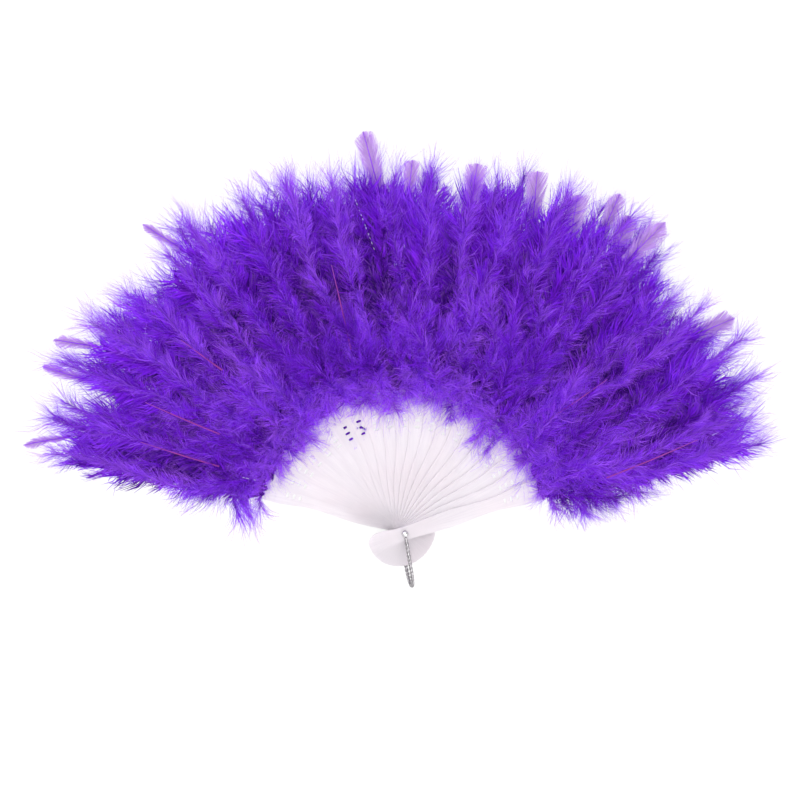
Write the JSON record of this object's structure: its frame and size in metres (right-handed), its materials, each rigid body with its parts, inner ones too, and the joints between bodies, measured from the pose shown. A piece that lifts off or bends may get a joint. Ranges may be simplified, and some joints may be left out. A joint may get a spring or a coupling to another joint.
{
  "type": "feather fan",
  "caption": "Folding hand fan: moulded plastic sticks turn on one rivet and spread a half-round of fluffy feather plumes, with a wire bail to hang it by.",
  "frame": {"origin": "centre of the rivet's flat rear head, on the surface that the fan lies on", "axes": "+X to the right across the open fan, +Y up the middle of the open fan, +Z out of its front"},
  "size_m": [0.4385, 0.2772, 0.032],
  "materials": {
    "white_plastic": "milky translucent white moulding, satin, with fine lines along each stick",
    "violet_down": "dyed violet marabou down with paler fluff at the edges and magenta shafts",
    "rivet_steel": "bright plated",
    "bail_wire": "bright plated wire"
  },
  "bodies": {
    "back_arm": {"back_guard": "white_plastic", "back_plume": "violet_down", "rivet": "rivet_steel"},
    "arm_01": {"stick_01": "white_plastic", "plume_01": "violet_down"},
    "arm_02": {"stick_02": "white_plastic", "plume_02": "violet_down"},
    "arm_03": {"stick_03": "white_plastic", "plume_03": "violet_down"},
    "arm_04": {"stick_04": "white_plastic", "plume_04": "violet_down"},
    "arm_05": {"stick_05": "white_plastic", "plume_05": "violet_down"},
    "arm_06": {"stick_06": "white_plastic", "plume_06": "violet_down"},
    "arm_07": {"stick_07": "white_plastic", "plume_07": "violet_down"},
    "arm_08": {"stick_08": "white_plastic", "plume_08": "violet_down"},
    "arm_09": {"stick_09": "white_plastic", "plume_09": "violet_down"},
    "arm_10": {"stick_10": "white_plastic", "plume_10": "violet_down"},
    "arm_11": {"stick_11": "white_plastic", "plume_11": "violet_down"},
    "arm_12": {"stick_12": "white_plastic", "plume_12": "violet_down"},
    "arm_13": {"stick_13": "white_plastic", "plume_13": "violet_down"},
    "arm_14": {"stick_14": "white_plastic", "plume_14": "violet_down"},
    "arm_15": {"stick_15": "white_plastic", "plume_15": "violet_down"},
    "arm_16": {"stick_16": "white_plastic", "plume_16": "violet_down"},
    "arm_17": {"stick_17": "white_plastic", "plume_17": "violet_down"},
    "arm_18": {"stick_18": "white_plastic", "plume_18": "violet_down"},
    "arm_19": {"stick_19": "white_plastic", "plume_19": "violet_down"},
    "front_arm": {"front_guard": "white_plastic", "front_plume": "violet_down"},
    "bail_loop": {"bail": "bail_wire"}
  },
  "joints": [
    {"name": "fan_spread", "type": "hinge", "parent": "back_arm", "child": "front_arm", "pos_m": [0, 0, 0.0129], "axis": [0, 0, 1], "range_deg": [0, 146]},
    {"name": "arm_01_turn", "type": "hinge", "parent": "back_arm", "child": "arm_01", "pos_m": [0, 0, 0.0129], "axis": [0, 0, 1], "range_deg": [0, 7.3]},
    {"name": "arm_02_turn", "type": "hinge", "parent": "back_arm", "child": "arm_02", "pos_m": [0, 0, 0.0129], "axis": [0, 0, 1], "range_deg": [0, 14.6]},
    {"name": "arm_03_turn", "type": "hinge", "parent": "back_arm", "child": "arm_03", "pos_m": [0, 0, 0.0129], "axis": [0, 0, 1], "range_deg": [0, 21.9]},
    {"name": "arm_04_turn", "type": "hinge", "parent": "back_arm", "child": "arm_04", "pos_m": [0, 0, 0.0129], "axis": [0, 0, 1], "range_deg": [0, 29.2]},
    {"name": "arm_05_turn", "type": "hinge", "parent": "back_arm", "child": "arm_05", "pos_m": [0, 0, 0.0129], "axis": [0, 0, 1], "range_deg": [0, 36.5]},
    {"name": "arm_06_turn", "type": "hinge", "parent": "back_arm", "child": "arm_06", "pos_m": [0, 0, 0.0129], "axis": [0, 0, 1], "range_deg": [0, 43.8]},
    {"name": "arm_07_turn", "type": "hinge", "parent": "back_arm", "child": "arm_07", "pos_m": [0, 0, 0.0129], "axis": [0, 0, 1], "range_deg": [0, 51.1]},
    {"name": "arm_08_turn", "type": "hinge", "parent": "back_arm", "child": "arm_08", "pos_m": [0, 0, 0.0129], "axis": [0, 0, 1], "range_deg": [0, 58.4]},
    {"name": "arm_09_turn", "type": "hinge", "parent": "back_arm", "child": "arm_09", "pos_m": [0, 0, 0.0129], "axis": [0, 0, 1], "range_deg": [0, 65.7]},
    {"name": "arm_10_turn", "type": "hinge", "parent": "back_arm", "child": "arm_10", "pos_m": [0, 0, 0.0129], "axis": [0, 0, 1], "range_deg": [0, 73]},
    {"name": "arm_11_turn", "type": "hinge", "parent": "back_arm", "child": "arm_11", "pos_m": [0, 0, 0.0129], "axis": [0, 0, 1], "range_deg": [0, 80.3]},
    {"name": "arm_12_turn", "type": "hinge", "parent": "back_arm", "child": "arm_12", "pos_m": [0, 0, 0.0129], "axis": [0, 0, 1], "range_deg": [0, 87.6]},
    {"name": "arm_13_turn", "type": "hinge", "parent": "back_arm", "child": "arm_13", "pos_m": [0, 0, 0.0129], "axis": [0, 0, 1], "range_deg": [0, 94.9]},
    {"name": "arm_14_turn", "type": "hinge", "parent": "back_arm", "child": "arm_14", "pos_m": [0, 0, 0.0129], "axis": [0, 0, 1], "range_deg": [0, 102.2]},
    {"name": "arm_15_turn", "type": "hinge", "parent": "back_arm", "child": "arm_15", "pos_m": [0, 0, 0.0129], "axis": [0, 0, 1], "range_deg": [0, 109.5]},
    {"name": "arm_16_turn", "type": "hinge", "parent": "back_arm", "child": "arm_16", "pos_m": [0, 0, 0.0129], "axis": [0, 0, 1], "range_deg": [0, 116.8]},
    {"name": "arm_17_turn", "type": "hinge", "parent": "back_arm", "child": "arm_17", "pos_m": [0, 0, 0.0129], "axis": [0, 0, 1], "range_deg": [0, 124.1]},
    {"name": "arm_18_turn", "type": "hinge", "parent": "back_arm", "child": "arm_18", "pos_m": [0, 0, 0.0129], "axis": [0, 0, 1], "range_deg": [0, 131.4]},
    {"name": "arm_19_turn", "type": "hinge", "parent": "back_arm", "child": "arm_19", "pos_m": [0, 0, 0.0129], "axis": [0, 0, 1], "range_deg": [0, 138.7]},
    {"name": "bail_swing", "type": "hinge", "parent": "back_arm", "child": "bail_loop", "pos_m": [0, 0, 0.0129], "axis": [0, 0, 1], "range_deg": [-94.7, 75.3]}
  ],
  "couplings": [
    {"joint": "arm_01_turn", "follows": "fan_spread", "ratio": 0.05},
    {"joint": "arm_02_turn", "follows": "fan_spread", "ratio": 0.1},
    {"joint": "arm_03_turn", "follows": "fan_spread", "ratio": 0.15},
    {"joint": "arm_04_turn", "follows": "fan_spread", "ratio": 0.2},
    {"joint": "arm_05_turn", "follows": "fan_spread", "ratio": 0.25},
    {"joint": "arm_06_turn", "follows": "fan_spread", "ratio": 0.3},
    {"joint": "arm_07_turn", "follows": "fan_spread", "ratio": 0.35},
    {"joint": "arm_08_turn", "follows": "fan_spread", "ratio": 0.4},
    {"joint": "arm_09_turn", "follows": "fan_spread", "ratio": 0.45},
    {"joint": "arm_10_turn", "follows": "fan_spread", "ratio": 0.5},
    {"joint": "arm_11_turn", "follows": "fan_spread", "ratio": 0.55},
    {"joint": "arm_12_turn", "follows": "fan_spread", "ratio": 0.6},
    {"joint": "arm_13_turn", "follows": "fan_spread", "ratio": 0.65},
    {"joint": "arm_14_turn", "follows": "fan_spread", "ratio": 0.7},
    {"joint": "arm_15_turn", "follows": "fan_spread", "ratio": 0.75},
    {"joint": "arm_16_turn", "follows": "fan_spread", "ratio": 0.8},
    {"joint": "arm_17_turn", "follows": "fan_spread", "ratio": 0.85},
    {"joint": "arm_18_turn", "follows": "fan_spread", "ratio": 0.9},
    {"joint": "arm_19_turn", "follows": "fan_spread", "ratio": 0.95}
  ]
}
